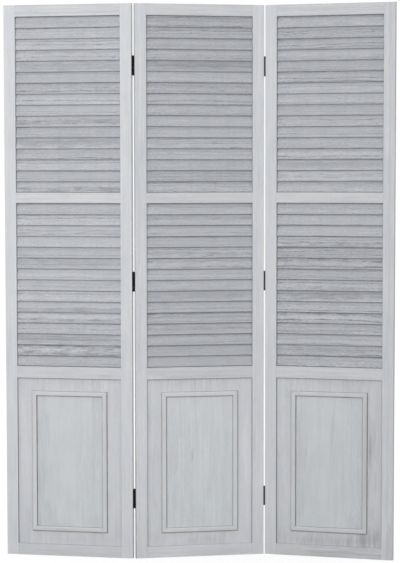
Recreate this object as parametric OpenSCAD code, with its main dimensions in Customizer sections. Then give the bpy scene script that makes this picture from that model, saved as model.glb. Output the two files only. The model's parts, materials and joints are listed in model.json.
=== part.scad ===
// Folding screen of three louvred panels on butt hinges.
//
// Origin: on the floor, under the middle of the middle panel.
// +X runs along the middle panel, +Y to the back, +Z up. Millimetres.
//
// Each panel is two stiles and four rails, dowelled together. The two upper bays
// hold tilted slats whose round edges sit in housings cut into the stiles. The
// lowest bay holds a thin board in a groove, with a mitred moulding planted on it.

/* [Panels] */
// Width of one panel
panel_w = 401; // [360:1:460]
// Height of one panel
panel_h = 1700; // [1600:1:1900]
// Thickness of the frame, front to back
frame_t = 18; // [16:0.5:24]
// Width of a stile
stile_w = 35.5; // [34:0.5:50]
// Height of the top rail
top_rail_h = 35; // [30:1:60]
// Height of the rail between the two louvred bays
upper_mid_rail_h = 32; // [30:1:60]
// Height of the rail over the board
lower_mid_rail_h = 36; // [30:1:60]
// Height of the bottom rail
bottom_rail_h = 35; // [30:1:80]
// Bevel that eases the outer edges of a panel
eased_edge = 1; // [0.5:0.1:2]

/* [Louvres] */
// Slats in the upper bay
upper_slats = 16; // [10:1:18]
// Slats in the lower bay
lower_slats = 15; // [9:1:16]
// Height from one slat to the next
slat_pitch = 33.5; // [30:0.5:35]
// Width of a slat, from one round edge to the other
slat_w = 36; // [36:0.5:40]
// Thickness of a slat
slat_t = 5; // [4:0.1:5.5]
// Lean of a slat from upright, with its lower edge to the front
slat_tilt = 12; // [11:0.5:16]
// Depth of the housings that hold the slats' ends
housing_depth = 7; // [5:0.5:10]
// Clearance around a slat in its housing
slat_fit = 0.15; // [0.1:0.05:0.25]
// Clearance at each end of a slat, and over and under the slats of a bay
slat_end_fit = 0.2; // [0.1:0.05:0.4]

/* [Board and moulding] */
// Thickness of the board
board_t = 6; // [4:0.5:8]
// Depth of the groove that holds the board
groove_depth = 6; // [4:0.5:6]
// Clearance on each face of the board in its groove
board_fit = 0.1; // [0.05:0.05:0.25]
// Clearance at the edges of the board
board_edge_fit = 0.3; // [0.1:0.1:0.5]
// Width of the moulding
moulding_w = 14; // [10:1:24]
// How far the moulding stands out from the board
moulding_h = 5; // [4:0.5:5.5]
// Radius of the moulding's two long edges
moulding_round = 3.5; // [1:0.5:3.5]
// How far each end of a strip is held back from the corner at the mitre
mitre_fit = 0.1; // [0.05:0.05:0.3]
// From a stile to the moulding
moulding_side_margin = 46.5; // [20:0.5:80]
// From a rail to the moulding
moulding_end_margin = 41.5; // [20:0.5:100]

/* [Dowels] */
// Diameter of a dowel
dowel_d = 6; // [5:0.5:7]
// Length of a dowel
dowel_l = 30; // [20:1:40]
// From a rail's edge to the nearest dowel
dowel_edge = 10; // [10:0.5:12]
// Clearance round a dowel
dowel_fit = 0.05; // [0.02:0.01:0.1]
// Clearance at each end of a dowel
dowel_end_fit = 0.5; // [0.2:0.1:1]

/* [Hinges] */
// Height of a hinge
hinge_h = 60; // [50:1:80]
// From the top of a panel to the middle of the top hinge
hinge_from_top = 187; // [120:1:300]
// From the foot of a panel to the middle of the bottom hinge
hinge_from_foot = 184; // [120:1:300]
// How far the middle hinge sits over the middle of a panel
hinge_rise = 4.5; // [-20:0.5:20]
// How far a leaf reaches across the edge of a stile
leaf_w = 16; // [13:0.5:16]
// Thickness of a leaf
leaf_t = 0.8; // [0.6:0.1:0.9]
// Diameter of the barrel, and the gap between two panels that stand in line
barrel_d = 3.4; // [3.2:0.1:6]
// How far the pin's axis stands out from the panels' faces
pin_offset = 1; // [0.8:0.1:3]
// Knuckles in a barrel, an odd number
knuckles = 5; // [3:2:7]
// Diameter of a pin
pin_d = 1.5; // [1.2:0.1:1.6]
// Diameter of the heads of a pin
pin_head_d = 2.6; // [2.2:0.1:3]
// Height of each head of a pin
pin_head_h = 0.8; // [0.6:0.1:1.5]
// Clearance round a pin in the barrel
pin_fit = 0.04; // [0.02:0.01:0.08]
// Gap between two knuckles
knuckle_gap = 0.3; // [0.2:0.05:0.5]
// Diameter of a screw's shank
screw_d = 3; // [2.5:0.1:3.5]
// Diameter of a screw's head
screw_head_d = 5.2; // [4.8:0.1:6]
// Length of a screw
screw_l = 12; // [10:1:16]
// Height from one screw to the next
screw_pitch = 20; // [16:1:22]
// From the panel's face to the line of screws
screw_from_face = 9; // [7:0.5:10]
// Clearance round a screw
screw_fit = 0.05; // [0.02:0.01:0.1]

/* [Stance] */
// How far the left panel is folded to the back, in degrees
left_fold = 20; // [0:1:180]
// How far the right panel is folded to the front, in degrees
right_fold = 24; // [0:1:180]

/* [Hidden] */
$fn = 32;

PANELS = ["left_panel", "middle_panel", "right_panel"];
PANEL_PIECES = [
    "left_stile", "right_stile", "top_rail", "upper_mid_rail", "lower_mid_rail", "bottom_rail",
    "upper_slats", "lower_slats", "board", "moulding", "dowels"
];
HINGES = ["left_top_hinge", "left_middle_hinge", "left_bottom_hinge",
          "right_top_hinge", "right_middle_hinge", "right_bottom_hinge"];
HINGE_PIECES = ["left_leaf", "right_leaf", "pin"];
SCREW_GROUPS = ["left_panel_hinge_screws", "middle_panel_left_hinge_screws",
                "middle_panel_right_hinge_screws", "right_panel_hinge_screws"];

FRAME_COLOUR = [0.82, 0.83, 0.845];
SLAT_COLOUR = [0.70, 0.71, 0.73];
BOARD_COLOUR = [0.77, 0.78, 0.79];
MOULDING_COLOUR = [0.80, 0.80, 0.79];
DOWEL_COLOUR = [0.76, 0.62, 0.42];
HINGE_COLOUR = [0.09, 0.09, 0.095];
SCREW_COLOUR = [0.13, 0.13, 0.135];

// How far a cutting shape runs past the face that it opens
past = 1;

// The opening between the stiles
inner_w = panel_w - 2 * stile_w;

// Height that one tilted slat takes up, and the height of a bay of slats
slat_rise = (slat_w - slat_t) * cos(slat_tilt) + slat_t;
function bay_h(count) = (count - 1) * slat_pitch + slat_rise + 2 * slat_end_fit;

// Levels of the rails' edges, from the top down
upper_bay_top = panel_h - top_rail_h;
upper_bay_bottom = upper_bay_top - bay_h(upper_slats);
lower_bay_top = upper_bay_bottom - upper_mid_rail_h;
lower_bay_bottom = lower_bay_top - bay_h(lower_slats);
board_top = lower_bay_bottom - lower_mid_rail_h;
board_bottom = bottom_rail_h;

// Middles of the slats of a bay, from the top down
function slat_levels(top, count) =
    [for (i = [0:count - 1]) top - slat_end_fit - slat_rise / 2 - i * slat_pitch];
upper_levels = slat_levels(upper_bay_top, upper_slats);
lower_levels = slat_levels(lower_bay_top, lower_slats);

// Each rail's lower and upper edge: top, upper middle, lower middle, bottom
RAIL_EDGES = [
    [upper_bay_top, panel_h],
    [lower_bay_top, upper_bay_bottom],
    [board_top, lower_bay_bottom],
    [0, board_bottom]
];
function dowel_levels(rail) = [rail[0] + dowel_edge, rail[1] - dowel_edge];

// Middles of the three hinges of a fold
hinge_levels = [panel_h - hinge_from_top, panel_h / 2 + hinge_rise, hinge_from_foot];
knuckle_h = hinge_h / knuckles;

// Pin of each fold: the left one behind the panels, the right one in front
pin_x = panel_w / 2 + barrel_d / 2;
pin_y = frame_t / 2 + pin_offset;

// Bevel at the ends of a dowel
dowel_bevel = 0.8;
// Length of a screw's point
screw_point_h = screw_l / 4;

// A shape drawn in Y and Z, run along X by the length given, from its middle
module along_x(length) {
    translate([-length / 2, 0, 0]) rotate([90, 0, 90]) linear_extrude(length) children();
}

// Moves a panel's pieces from the middle of the screen to where the panel stands
module at_panel(index) {
    if (index == 1) {
        children();
    } else {
        side = index == 0 ? -1 : 1;
        fold = index == 0 ? left_fold : right_fold;
        translate([side * pin_x, -side * pin_y, 0])
            rotate([0, 0, -fold])
                translate([side * pin_x, side * pin_y, 0])
                    children();
    }
}

// Frame of a panel

// Cross-section of a stile, its outer edge eased; side is -1 for left, 1 for right
module stile_outline(side) {
    inner = side * inner_w / 2;
    outer = side * panel_w / 2;
    bevel = side * eased_edge;
    polygon([
        [inner, -frame_t / 2],
        [outer - bevel, -frame_t / 2],
        [outer, -frame_t / 2 + eased_edge],
        [outer, frame_t / 2 - eased_edge],
        [outer - bevel, frame_t / 2],
        [inner, frame_t / 2]
    ]);
}

// Side view of a stile or a rail in Y and Z, with its top edges eased if asked
module edge_view(low, high, top_bevel) {
    polygon([
        [-frame_t / 2, low],
        [frame_t / 2, low],
        [frame_t / 2, high - top_bevel],
        [frame_t / 2 - top_bevel, high],
        [-frame_t / 2 + top_bevel, high],
        [-frame_t / 2, high - top_bevel]
    ]);
}

// Section of the slot for the board, in Y and Z, between two levels
module groove_view(low, high) {
    thick = board_t + 2 * board_fit;
    translate([-thick / 2, low]) square([thick, high - low]);
}

// Holes for the dowels at one end of the rails given, half in the stile and half in the rail
module dowel_holes(side, rails) {
    for (edges = rails) {
        for (level = dowel_levels(edges)) {
            translate([side * inner_w / 2, 0, level])
                rotate([0, 90, 0])
                    cylinder(d = dowel_d + 2 * dowel_fit, h = dowel_l + 2 * dowel_end_fit, center = true);
        }
    }
}

// Holes for the screws of one stile's hinges; face is -1 where they start from the front
module pilot_holes(side, face) {
    for (level = hinge_levels) {
        for (step = [-1:1]) {
            translate([side * panel_w / 2, face * (frame_t / 2 - screw_from_face), level + step * screw_pitch])
                rotate([0, side * 90, 0])
                    screw_shape(screw_fit);
        }
    }
}

// One stile; hinge_face is -1 or 1 for the face that its hinges' pins are on, or 0 with none
module stile(side, hinge_face) {
    color(FRAME_COLOUR) difference() {
        intersection() {
            linear_extrude(panel_h) stile_outline(side);
            along_x(panel_w) edge_view(0, panel_h, eased_edge);
        }
        for (level = concat(upper_levels, lower_levels)) {
            translate([side * (inner_w / 2 + (housing_depth - past) / 2), 0, level])
                along_x(housing_depth + past)
                    slat_outline(slat_fit);
        }
        translate([side * (inner_w / 2 + (groove_depth - past) / 2), 0, 0])
            along_x(groove_depth + past)
                groove_view(board_bottom - groove_depth, board_top + groove_depth);
        dowel_holes(side, RAIL_EDGES);
        if (hinge_face != 0) {
            pilot_holes(side, hinge_face);
        }
    }
}

// One rail; groove is -1 for the board's slot in its lower edge, 1 in its upper edge
module rail(edges, groove, top_bevel) {
    color(FRAME_COLOUR) difference() {
        along_x(inner_w) difference() {
            edge_view(edges[0], edges[1], top_bevel);
            if (groove == -1) {
                groove_view(edges[0] - past, edges[0] + groove_depth);
            }
            if (groove == 1) {
                groove_view(edges[1] - groove_depth, edges[1] + past);
            }
        }
        dowel_holes(-1, [edges]);
        dowel_holes(1, [edges]);
    }
}

// The dowels of a whole panel, with bevelled ends
module dowels() {
    color(DOWEL_COLOUR) for (side = [-1, 1]) {
        for (edges = RAIL_EDGES) {
            for (level = dowel_levels(edges)) {
                translate([side * inner_w / 2, 0, level]) rotate([0, 90, 0]) dowel();
            }
        }
    }
}

module dowel() {
    r = dowel_d / 2;
    rotate_extrude() polygon([
        [0, -dowel_l / 2],
        [r - dowel_bevel, -dowel_l / 2],
        [r, -dowel_l / 2 + dowel_bevel],
        [r, dowel_l / 2 - dowel_bevel],
        [r - dowel_bevel, dowel_l / 2],
        [0, dowel_l / 2]
    ]);
}

// What fills the bays

// Section of a slat in Y and Z, with its round edges, grown all round by the clearance given
module slat_outline(grow) {
    flat = slat_w - slat_t;
    rotate([0, 0, -slat_tilt]) {
        square([slat_t + 2 * grow, flat], center = true);
        for (end = [-1, 1]) {
            translate([0, end * flat / 2]) circle(d = slat_t + 2 * grow);
        }
    }
}

// The slats of one bay
module slats(levels) {
    color(SLAT_COLOUR) for (level = levels) {
        translate([0, 0, level])
            along_x(inner_w + 2 * (housing_depth - slat_end_fit))
                slat_outline(0);
    }
}

// The board, which fills its groove but for the clearance at its edges
module board() {
    reach = groove_depth - board_edge_fit;
    width = inner_w + 2 * reach;
    color(BOARD_COLOUR) translate([-width / 2, -board_t / 2, board_bottom - reach])
        cube([width, board_t, board_top - board_bottom + 2 * reach]);
}

// Section of the moulding: across it in X, and out from the board in Y
module moulding_outline() {
    square([moulding_w, moulding_h - moulding_round]);
    translate([moulding_round, 0]) square([moulding_w - 2 * moulding_round, moulding_h]);
    for (x = [moulding_round, moulding_w - moulding_round]) {
        translate([x, moulding_h - moulding_round]) circle(r = moulding_round);
    }
}

// One strip, its outer edge along X at the origin, mitred at both ends
module moulding_strip(length) {
    half = length / 2 - mitre_fit;
    intersection() {
        along_x(length) moulding_outline();
        linear_extrude(moulding_h) polygon([
            [-half, 0],
            [half, 0],
            [half - moulding_w, moulding_w],
            [-half + moulding_w, moulding_w]
        ]);
    }
}

// The four strips on the front of the board
module moulding() {
    width = inner_w - 2 * moulding_side_margin;
    height = board_top - board_bottom - 2 * moulding_end_margin;
    color(MOULDING_COLOUR) translate([0, -board_t / 2, (board_top + board_bottom) / 2]) rotate([90, 0, 0]) {
        for (turn = [0, 180]) {
            rotate([0, 0, turn]) translate([0, -height / 2, 0]) moulding_strip(width);
            rotate([0, 0, turn + 90]) translate([0, -width / 2, 0]) moulding_strip(height);
        }
    }
}

// Hinges, drawn with the pin on the Z axis and the leaf that is asked for at -X,
// reaching to +Y

// Which knuckles a leaf has: the first, third and so on, or the rest
function own_knuckles(odd) = [for (i = [0:knuckles - 1]) if (i % 2 == odd) i];

// Room that one leaf leaves for the other leaf's knuckles
module knuckle_notch(index) {
    room = barrel_d / 2 + knuckle_gap;
    translate([-room, -room, index * knuckle_h - hinge_h / 2 - knuckle_gap / 2])
        cube([2 * room, 2 * room, knuckle_h + knuckle_gap]);
}

module leaf(odd) {
    bottom = -hinge_h / 2;
    color(HINGE_COLOUR) difference() {
        union() {
            translate([-barrel_d / 2, 0, bottom]) cube([leaf_t, pin_offset + leaf_w, hinge_h]);
            translate([0, 0, bottom]) cylinder(d = barrel_d, h = hinge_h);
        }
        for (i = own_knuckles(1 - odd)) {
            knuckle_notch(i);
        }
        translate([0, 0, bottom - past]) cylinder(d = pin_d + 2 * pin_fit, h = hinge_h + 2 * past);
        for (step = [-1:1]) {
            translate([-barrel_d / 2, pin_offset + screw_from_face, step * screw_pitch])
                rotate([0, 90, 0])
                    screw_shape(screw_fit);
        }
    }
}

// The pin, with a low bevelled head on each end of the barrel
module pin() {
    end = hinge_h / 2;
    r = pin_d / 2;
    head_r = pin_head_d / 2;
    color(HINGE_COLOUR) rotate_extrude() polygon([
        [0, -end - pin_head_h],
        [head_r / 2, -end - pin_head_h],
        [head_r, -end - pin_head_h / 2],
        [head_r, -end],
        [r, -end],
        [r, end],
        [head_r, end],
        [head_r, end + pin_head_h / 2],
        [head_r / 2, end + pin_head_h],
        [0, end + pin_head_h]
    ]);
}

// A countersunk screw along Z: the leaf's back face is at 0, the head above it and the
// shank below it, grown by the clearance given
module screw_shape(grow) {
    r = screw_d / 2 + grow;
    head_r = screw_head_d / 2 + grow;
    tip = leaf_t - screw_l - grow;
    rotate_extrude() polygon([
        [0, tip],
        [r / 4, tip],
        [r, tip + screw_point_h],
        [r, leaf_t - (screw_head_d - screw_d) / 2],
        [head_r, leaf_t],
        [head_r, leaf_t + (grow > 0 ? past : 0)],
        [0, leaf_t + (grow > 0 ? past : 0)]
    ]);
}

// Puts what is drawn on the Z axis at a hinge; side is which panel edge, -1 left or 1 right,
// and face which face the pin is on, -1 front or 1 back
module at_hinge(side, face, level) {
    translate([side * pin_x, face * pin_y, level])
        mirror([side == 1 ? 0 : 1, 0, 0])
            mirror([0, face == -1 ? 0 : 1, 0])
                children();
}

// A stile's leaf lies on its own edge, so it is drawn at the hinge of that edge
module edge_leaf(side, face, level, odd) {
    at_hinge(side, face, level) leaf(odd);
}

// The screws of one stile's hinges
module edge_screws(side, face) {
    color(SCREW_COLOUR) for (level = hinge_levels) {
        for (step = [-1:1]) {
            translate([side * panel_w / 2, face * (frame_t / 2 - screw_from_face), level + step * screw_pitch])
                rotate([0, side * 90, 0])
                    screw_shape(0);
        }
    }
}

// Panels
for (i = [0:len(PANELS) - 1]) {
    name = PANELS[i];
    // Pins are behind the left fold and in front of the right one
    left_face = i == 0 ? 0 : (i == 1 ? 1 : -1);
    right_face = i == 2 ? 0 : (i == 1 ? -1 : 1);
    at_panel(i) stile(-1, left_face);
    at_panel(i) stile(1, right_face);
    at_panel(i) rail(RAIL_EDGES[0], 0, eased_edge);
    at_panel(i) rail(RAIL_EDGES[1], 0, 0);
    at_panel(i) rail(RAIL_EDGES[2], -1, 0);
    at_panel(i) rail(RAIL_EDGES[3], 1, 0);
    at_panel(i) slats(upper_levels);
    at_panel(i) slats(lower_levels);
    at_panel(i) board();
    at_panel(i) moulding();
    at_panel(i) dowels();
}

// Hinges: the leaves with the end knuckles, and the pins, are on the middle panel
for (i = [0:len(HINGES) - 1]) {
    name = HINGES[i];
    side = i < 3 ? -1 : 1;
    level = hinge_levels[i % 3];
    outer_panel = i < 3 ? 0 : 2;
    middle_leaf = i < 3 ? "_right_leaf" : "_left_leaf";
    outer_leaf = i < 3 ? "_left_leaf" : "_right_leaf";
    edge_leaf(side, -side, level, 0);
    at_panel(outer_panel) edge_leaf(-side, -side, level, 1);
    at_hinge(side, -side, level) pin();
}

// Hinge screws, one group for each edge
at_panel(0) edge_screws(1, 1);  // left_panel_hinge_screws
edge_screws(-1, 1);  // middle_panel_left_hinge_screws
edge_screws(1, -1);  // middle_panel_right_hinge_screws
at_panel(2) edge_screws(-1, -1);  // right_panel_hinge_screws
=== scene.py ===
"""Looks of a folding screen of three louvred panels in whitewashed wood.

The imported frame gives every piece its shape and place. This script dresses the frame's
pieces in wood and blackened steel, makes the cross-headed hinge screws, and sets up the
studio. Metres, in the frame's axes: X along the middle panel, Y to the back, Z up.
"""

import json
import logging
import math
from dataclasses import dataclass
from enum import Enum
from functools import reduce
from typing import Union

import bmesh
import bpy
from mathutils import Matrix, Vector


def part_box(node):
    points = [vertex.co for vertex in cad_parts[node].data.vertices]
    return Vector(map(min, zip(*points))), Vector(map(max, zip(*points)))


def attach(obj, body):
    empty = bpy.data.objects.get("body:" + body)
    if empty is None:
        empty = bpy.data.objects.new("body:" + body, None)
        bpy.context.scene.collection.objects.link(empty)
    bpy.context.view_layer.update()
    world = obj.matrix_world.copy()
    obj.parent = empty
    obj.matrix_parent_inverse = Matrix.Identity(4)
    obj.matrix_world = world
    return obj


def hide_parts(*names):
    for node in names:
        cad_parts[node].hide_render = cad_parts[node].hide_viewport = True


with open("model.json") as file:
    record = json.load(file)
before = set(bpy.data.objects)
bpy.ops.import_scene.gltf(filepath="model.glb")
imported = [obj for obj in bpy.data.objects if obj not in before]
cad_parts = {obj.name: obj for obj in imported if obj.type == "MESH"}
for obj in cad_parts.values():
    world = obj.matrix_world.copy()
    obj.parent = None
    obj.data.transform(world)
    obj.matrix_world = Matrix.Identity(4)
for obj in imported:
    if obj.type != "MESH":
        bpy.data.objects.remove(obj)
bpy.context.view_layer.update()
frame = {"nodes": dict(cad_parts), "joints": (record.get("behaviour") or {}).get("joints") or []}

log = logging.getLogger("folding_screen")

Colour = tuple[float, float, float, float]
Number = Union["Signal", float]
Pair = tuple[float, float]
Triple = tuple[float, float, float]
Settings = dict[str, object] | None
Sockets = dict[str | int, object] | None

# How far off a dark line is, in widths of it, where a surface has none; the lines are painted shade,
# or dark joints at the rails' ends.
FAR = 1000.0


def chip(red: int, green: int, blue: int) -> Colour:
    """Turns a paint chip into the linear colour that a shader takes.

    Args:
        red: Red as a screen shows it, 0 to 255.
        green: Green, 0 to 255.
        blue: Blue, 0 to 255.

    Returns:
        The linear colour, opaque.
    """
    def linear(level: int) -> float:
        """Returns one channel in linear light, by the sRGB curve."""
        share = level / 255
        return share / 12.92 if share <= 0.04045 else ((share + 0.055) / 1.055) ** 2.4

    return linear(red), linear(green), linear(blue), 1.0


def grey(level: float) -> Colour:
    """Returns a linear grey."""
    return level, level, level, 1.0


class Signal:
    """One output socket of a shader graph. Arithmetic on it adds Math nodes."""

    def __init__(self, graph: "Graph", socket: bpy.types.NodeSocket) -> None:
        """Wraps a socket.

        Args:
            graph: The graph that the socket belongs to.
            socket: The output socket.
        """
        self.graph = graph
        self.socket = socket

    def __add__(self, other: Number) -> "Signal":
        """Returns self + other."""
        return self.graph.math("ADD", self, other)

    def __radd__(self, other: Number) -> "Signal":
        """Returns other + self."""
        return self.graph.math("ADD", other, self)

    def __sub__(self, other: Number) -> "Signal":
        """Returns self - other."""
        return self.graph.math("SUBTRACT", self, other)

    def __rsub__(self, other: Number) -> "Signal":
        """Returns other - self."""
        return self.graph.math("SUBTRACT", other, self)

    def __mul__(self, other: Number) -> "Signal":
        """Returns self * other."""
        return self.graph.math("MULTIPLY", self, other)

    def __rmul__(self, other: Number) -> "Signal":
        """Returns other * self."""
        return self.graph.math("MULTIPLY", other, self)

    def __truediv__(self, other: Number) -> "Signal":
        """Returns self / other."""
        return self.graph.math("DIVIDE", self, other)

    def __rtruediv__(self, other: Number) -> "Signal":
        """Returns other / self."""
        return self.graph.math("DIVIDE", other, self)

    def __abs__(self) -> "Signal":
        """Returns the size of self without its sign."""
        return self.graph.math("ABSOLUTE", self)


class Graph:
    """The node tree of a material or the world, filled one node at a time."""

    def __init__(self, owner: bpy.types.Material | bpy.types.World) -> None:
        """Starts with an empty tree.

        Args:
            owner: What the tree belongs to.
        """
        owner.use_nodes = True
        self.tree = owner.node_tree
        self.tree.nodes.clear()

    def node(self, kind: str, settings: Settings = None, sockets: Sockets = None) -> bpy.types.Node:
        """Adds one node, with its settings made before its sockets are filled.

        Args:
            kind: The node's type, without the ShaderNode at its start.
            settings: Properties of the node by name.
            sockets: Values or signals by the input's name or place.

        Returns:
            The node.
        """
        made = self.tree.nodes.new("ShaderNode" + kind)
        for name, value in (settings or {}).items():
            setattr(made, name, value)
        for key, value in (sockets or {}).items():
            if isinstance(value, Signal):
                self.tree.links.new(value.socket, made.inputs[key])
            else:
                made.inputs[key].default_value = value
        return made

    def signal(
        self, kind: str, settings: Settings = None, sockets: Sockets = None, output: str | int = 0
    ) -> Signal:
        """Adds one node and wraps one of its outputs.

        Args:
            kind: The node's type, as for node().
            settings: Its properties.
            sockets: Its inputs.
            output: The output's name or place.

        Returns:
            That output as a signal.
        """
        return Signal(self, self.node(kind, settings, sockets).outputs[output])

    def math(self, operation: str, *operands: Number) -> Signal:
        """Adds a Math node.

        Args:
            operation: What the node works out.
            *operands: Values or signals, in order.

        Returns:
            The result.
        """
        return self.signal("Math", {"operation": operation}, dict(enumerate(operands)))

    def blend(self, share: Number, low: Number, high: Number) -> Signal:
        """Goes from one value to another.

        Args:
            share: 0 for the first value, 1 for the second.
            low: The first value.
            high: The second value.

        Returns:
            The value in between.
        """
        # Inputs 2 and 3 are the Mix node's plain numbers.
        return self.signal("Mix", {"data_type": "FLOAT"}, {0: share, 2: low, 3: high})

    def tint(self, share: Number, under: object, over: object, how: str = "MIX") -> Signal:
        """Lays one colour over another.

        Args:
            share: How much of the upper colour shows, 0 to 1.
            under: The lower colour.
            over: The upper colour.
            how: The Mix node's way of blending.

        Returns:
            The colour.
        """
        # Inputs 6 and 7 and output 2 are the Mix node's colours.
        settings = {"data_type": "RGBA", "blend_type": how}
        return self.signal("Mix", settings, {0: share, 6: under, 7: over}, 2)

    def scaled(self, colour: object, amount: Number) -> Signal:
        """Returns the colour made lighter or darker by the amount."""
        return self.signal("VectorMath", {"operation": "SCALE"}, {"Vector": colour, "Scale": amount})

    def point(self, x: Number, y: Number, z: Number) -> Signal:
        """Returns a vector of three values."""
        return self.signal("CombineXYZ", None, {"X": x, "Y": y, "Z": z})

    def parts(self, vector: Signal) -> tuple[Signal, Signal, Signal]:
        """Returns the three values of a vector."""
        split = self.node("SeparateXYZ", None, {"Vector": vector})
        return tuple(Signal(self, output) for output in split.outputs)

    def least(self, *values: Number) -> Signal:
        """Returns the smallest of two or more values."""
        return reduce(lambda one, other: self.math("MINIMUM", one, other), values)

    def most(self, *values: Number) -> Signal:
        """Returns the largest of two or more values."""
        return reduce(lambda one, other: self.math("MAXIMUM", one, other), values)

    def step(self, value: Number, low: float, high: float) -> Signal:
        """Rises smoothly from 0 to 1.

        Args:
            value: What is measured.
            low: Where the rise starts.
            high: Where it ends; below low, the result falls instead.

        Returns:
            A value from 0 to 1.
        """
        ends = (low, high, 0.0, 1.0) if low <= high else (high, low, 1.0, 0.0)
        sockets = {"Value": value, **dict(zip(("From Min", "From Max", "To Min", "To Max"), ends))}
        return self.signal("MapRange", {"interpolation_type": "SMOOTHSTEP"}, sockets)

    def noise(self, place: Signal, detail: float = 2.0, roughness: float = 0.5) -> Signal:
        """Returns noise from 0 to 1, one unit of the place to a blotch."""
        sockets = {"Vector": place, "Scale": 1.0, "Detail": detail, "Roughness": roughness}
        return self.signal("TexNoise", {"noise_dimensions": "3D"}, sockets)

    def noise_along(self, value: Signal, detail: float, roughness: float) -> Signal:
        """Returns noise from 0 to 1 that runs one way, one unit of the value to a blotch."""
        sockets = {"W": value, "Scale": 1.0, "Detail": detail, "Roughness": roughness}
        return self.signal("TexNoise", {"noise_dimensions": "1D"}, sockets)

    def draw(self, number: Number) -> tuple[Signal, Signal, Signal]:
        """Returns three chance values from 0 to 1 that belong to a number."""
        cast = self.signal("TexWhiteNoise", {"noise_dimensions": "1D"}, {"W": number}, "Color")
        return self.parts(cast)

    def surface(self, shader: Signal) -> None:
        """Links a shader to the material's output."""
        self.node("OutputMaterial", None, {"Surface": shader})


@dataclass(frozen=True)
class Stand:
    """Where a panel stands: its middle on the floor and its turn about the upright axis."""

    panel: str
    middle: Vector
    turn: float

    @classmethod
    def of(cls, panel: str) -> "Stand":
        """Reads a panel's place from the joint that carries it.

        Args:
            panel: The panel's body.

        Returns:
            The panel's stand. A panel that no joint carries stands at the origin.
        """
        for joint in frame["joints"]:
            if joint["child"] == panel:
                pin = Vector(joint["pos_m"][:2]).to_3d()
                # The joint's low limit is in line and its axis points down, so that limit
                # is also the turn of the panel as it stands.
                turn = math.radians(joint["range_deg"][0])
                pin_to_middle = Vector((pin.x, -pin.y, 0.0))
                return cls(panel, pin + Matrix.Rotation(turn, 3, "Z") @ pin_to_middle, turn)
        return cls(panel, Vector(), 0.0)

    def matrix(self) -> Matrix:
        """Returns the move from the panel's own axes to the frame's."""
        return Matrix.Translation(self.middle) @ Matrix.Rotation(self.turn, 4, "Z")

    def box(self, node: str) -> tuple[Vector, Vector]:
        """Measures a piece of the frame square to its panel.

        Args:
            node: The piece's name.

        Returns:
            Its lowest and highest corners in the panel's own axes.
        """
        back = self.matrix().inverted()
        axes = list(zip(*[back @ vertex.co for vertex in frame["nodes"][node].data.vertices]))
        return Vector([min(axis) for axis in axes]), Vector([max(axis) for axis in axes])

    def place(self, graph: Graph) -> Signal:
        """Finds a surface point on the panel.

        Args:
            graph: The material's graph.

        Returns:
            The point in the panel's own axes.
        """
        point = graph.signal("TexCoord", output="Object")
        sockets = {"Vector": point, "Location": self.middle, "Rotation": (0.0, 0.0, self.turn)}
        return graph.signal("Mapping", {"vector_type": "TEXTURE"}, sockets)


@dataclass(frozen=True)
class Opening:
    """An opening of a panel's frame, in the panel's own axes, and the painted shade lines round it.

    The three widths say how far each line of painted shade reaches over what fills the opening:
    along the stiles, the rail below and the rail above.
    """

    half_width: float
    foot: float
    head: float
    side_line: float
    foot_line: float
    head_line: float

    @classmethod
    def between(cls, stand: Stand, below: str, above: str, lines: Triple) -> "Opening":
        """Finds an opening from the pieces round it.

        Args:
            stand: The panel's stand.
            below: The rail under the opening.
            above: The rail over it.
            lines: The three widths, in the same order.

        Returns:
            The opening.
        """
        stile = stand.box(f"{stand.panel}_left_stile")[1]
        foot, head = stand.box(f"{stand.panel}_{below}")[1], stand.box(f"{stand.panel}_{above}")[0]
        return cls(-stile.x, foot.z, head.z, *lines)

    def crease(self, graph: Graph, u: Signal, z: Signal) -> Signal:
        """Returns the distance from the nearest edge, in widths of the painted shade line there."""
        level = graph.least((z - self.foot) / self.foot_line, (self.head - z) / self.head_line)
        return graph.least((self.half_width - abs(u)) / self.side_line, level)


@dataclass(frozen=True)
class Cut:
    """Where a surface point lies in the plank that its piece was cut from.

    The rub is its distance from the nearest edge that hands rub, and the crease its distance
    from the nearest inner corner in widths of the line there: a line of painted shade, or a dark
    joint line at a rail's ends. The spot is its place on the panel, to the right and up. The
    margin is 1 on a board outside its moulding.
    """

    across: Signal
    depth: Signal
    along: Signal
    rub: Signal
    crease: Number
    spot: tuple[Signal, Signal]
    chance: tuple[Signal, Signal, Signal]
    margin: Number = 0.0


class Grain(Enum):
    """Which way the grain of a straight piece runs."""

    UPRIGHT = "upright"
    LEVEL = "level"


@dataclass(frozen=True)
class StraightLay:
    """The lay of one straight piece, such as a stile or a rail.

    The number picks its chance values. The joint line is the dark line across its ends.
    """

    stand: Stand
    node: str
    number: int
    grain: Grain
    joint_line: float = 0.0003

    def cut(self, graph: Graph) -> Cut:
        """Finds a surface point in the piece's plank.

        Args:
            graph: The material's graph.

        Returns:
            The point, with its distance from the nearest edge that is free to be rubbed:
            a stile's outer edges, or a rail's upper and lower ones.
        """
        low, high = self.stand.box(self.node)
        middle, half = (low + high) / 2, (high - low) / 2
        u, v, z = graph.parts(self.stand.place(graph))
        spot = (u, z)
        u, v, z = u - middle.x, v - middle.y, z - middle.z
        outward = math.copysign(1.0, middle.x)
        if self.grain is Grain.UPRIGHT:
            across, along, inset, crease = u, z, half.x - u * outward, FAR
        else:
            across, along, inset, crease = z, u, half.z - abs(z), (half.x - abs(u)) / self.joint_line
        rub = graph.most(inset, half.y - abs(v))
        return Cut(across, v, along, rub, crease, spot, graph.draw(float(self.number)))


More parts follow.
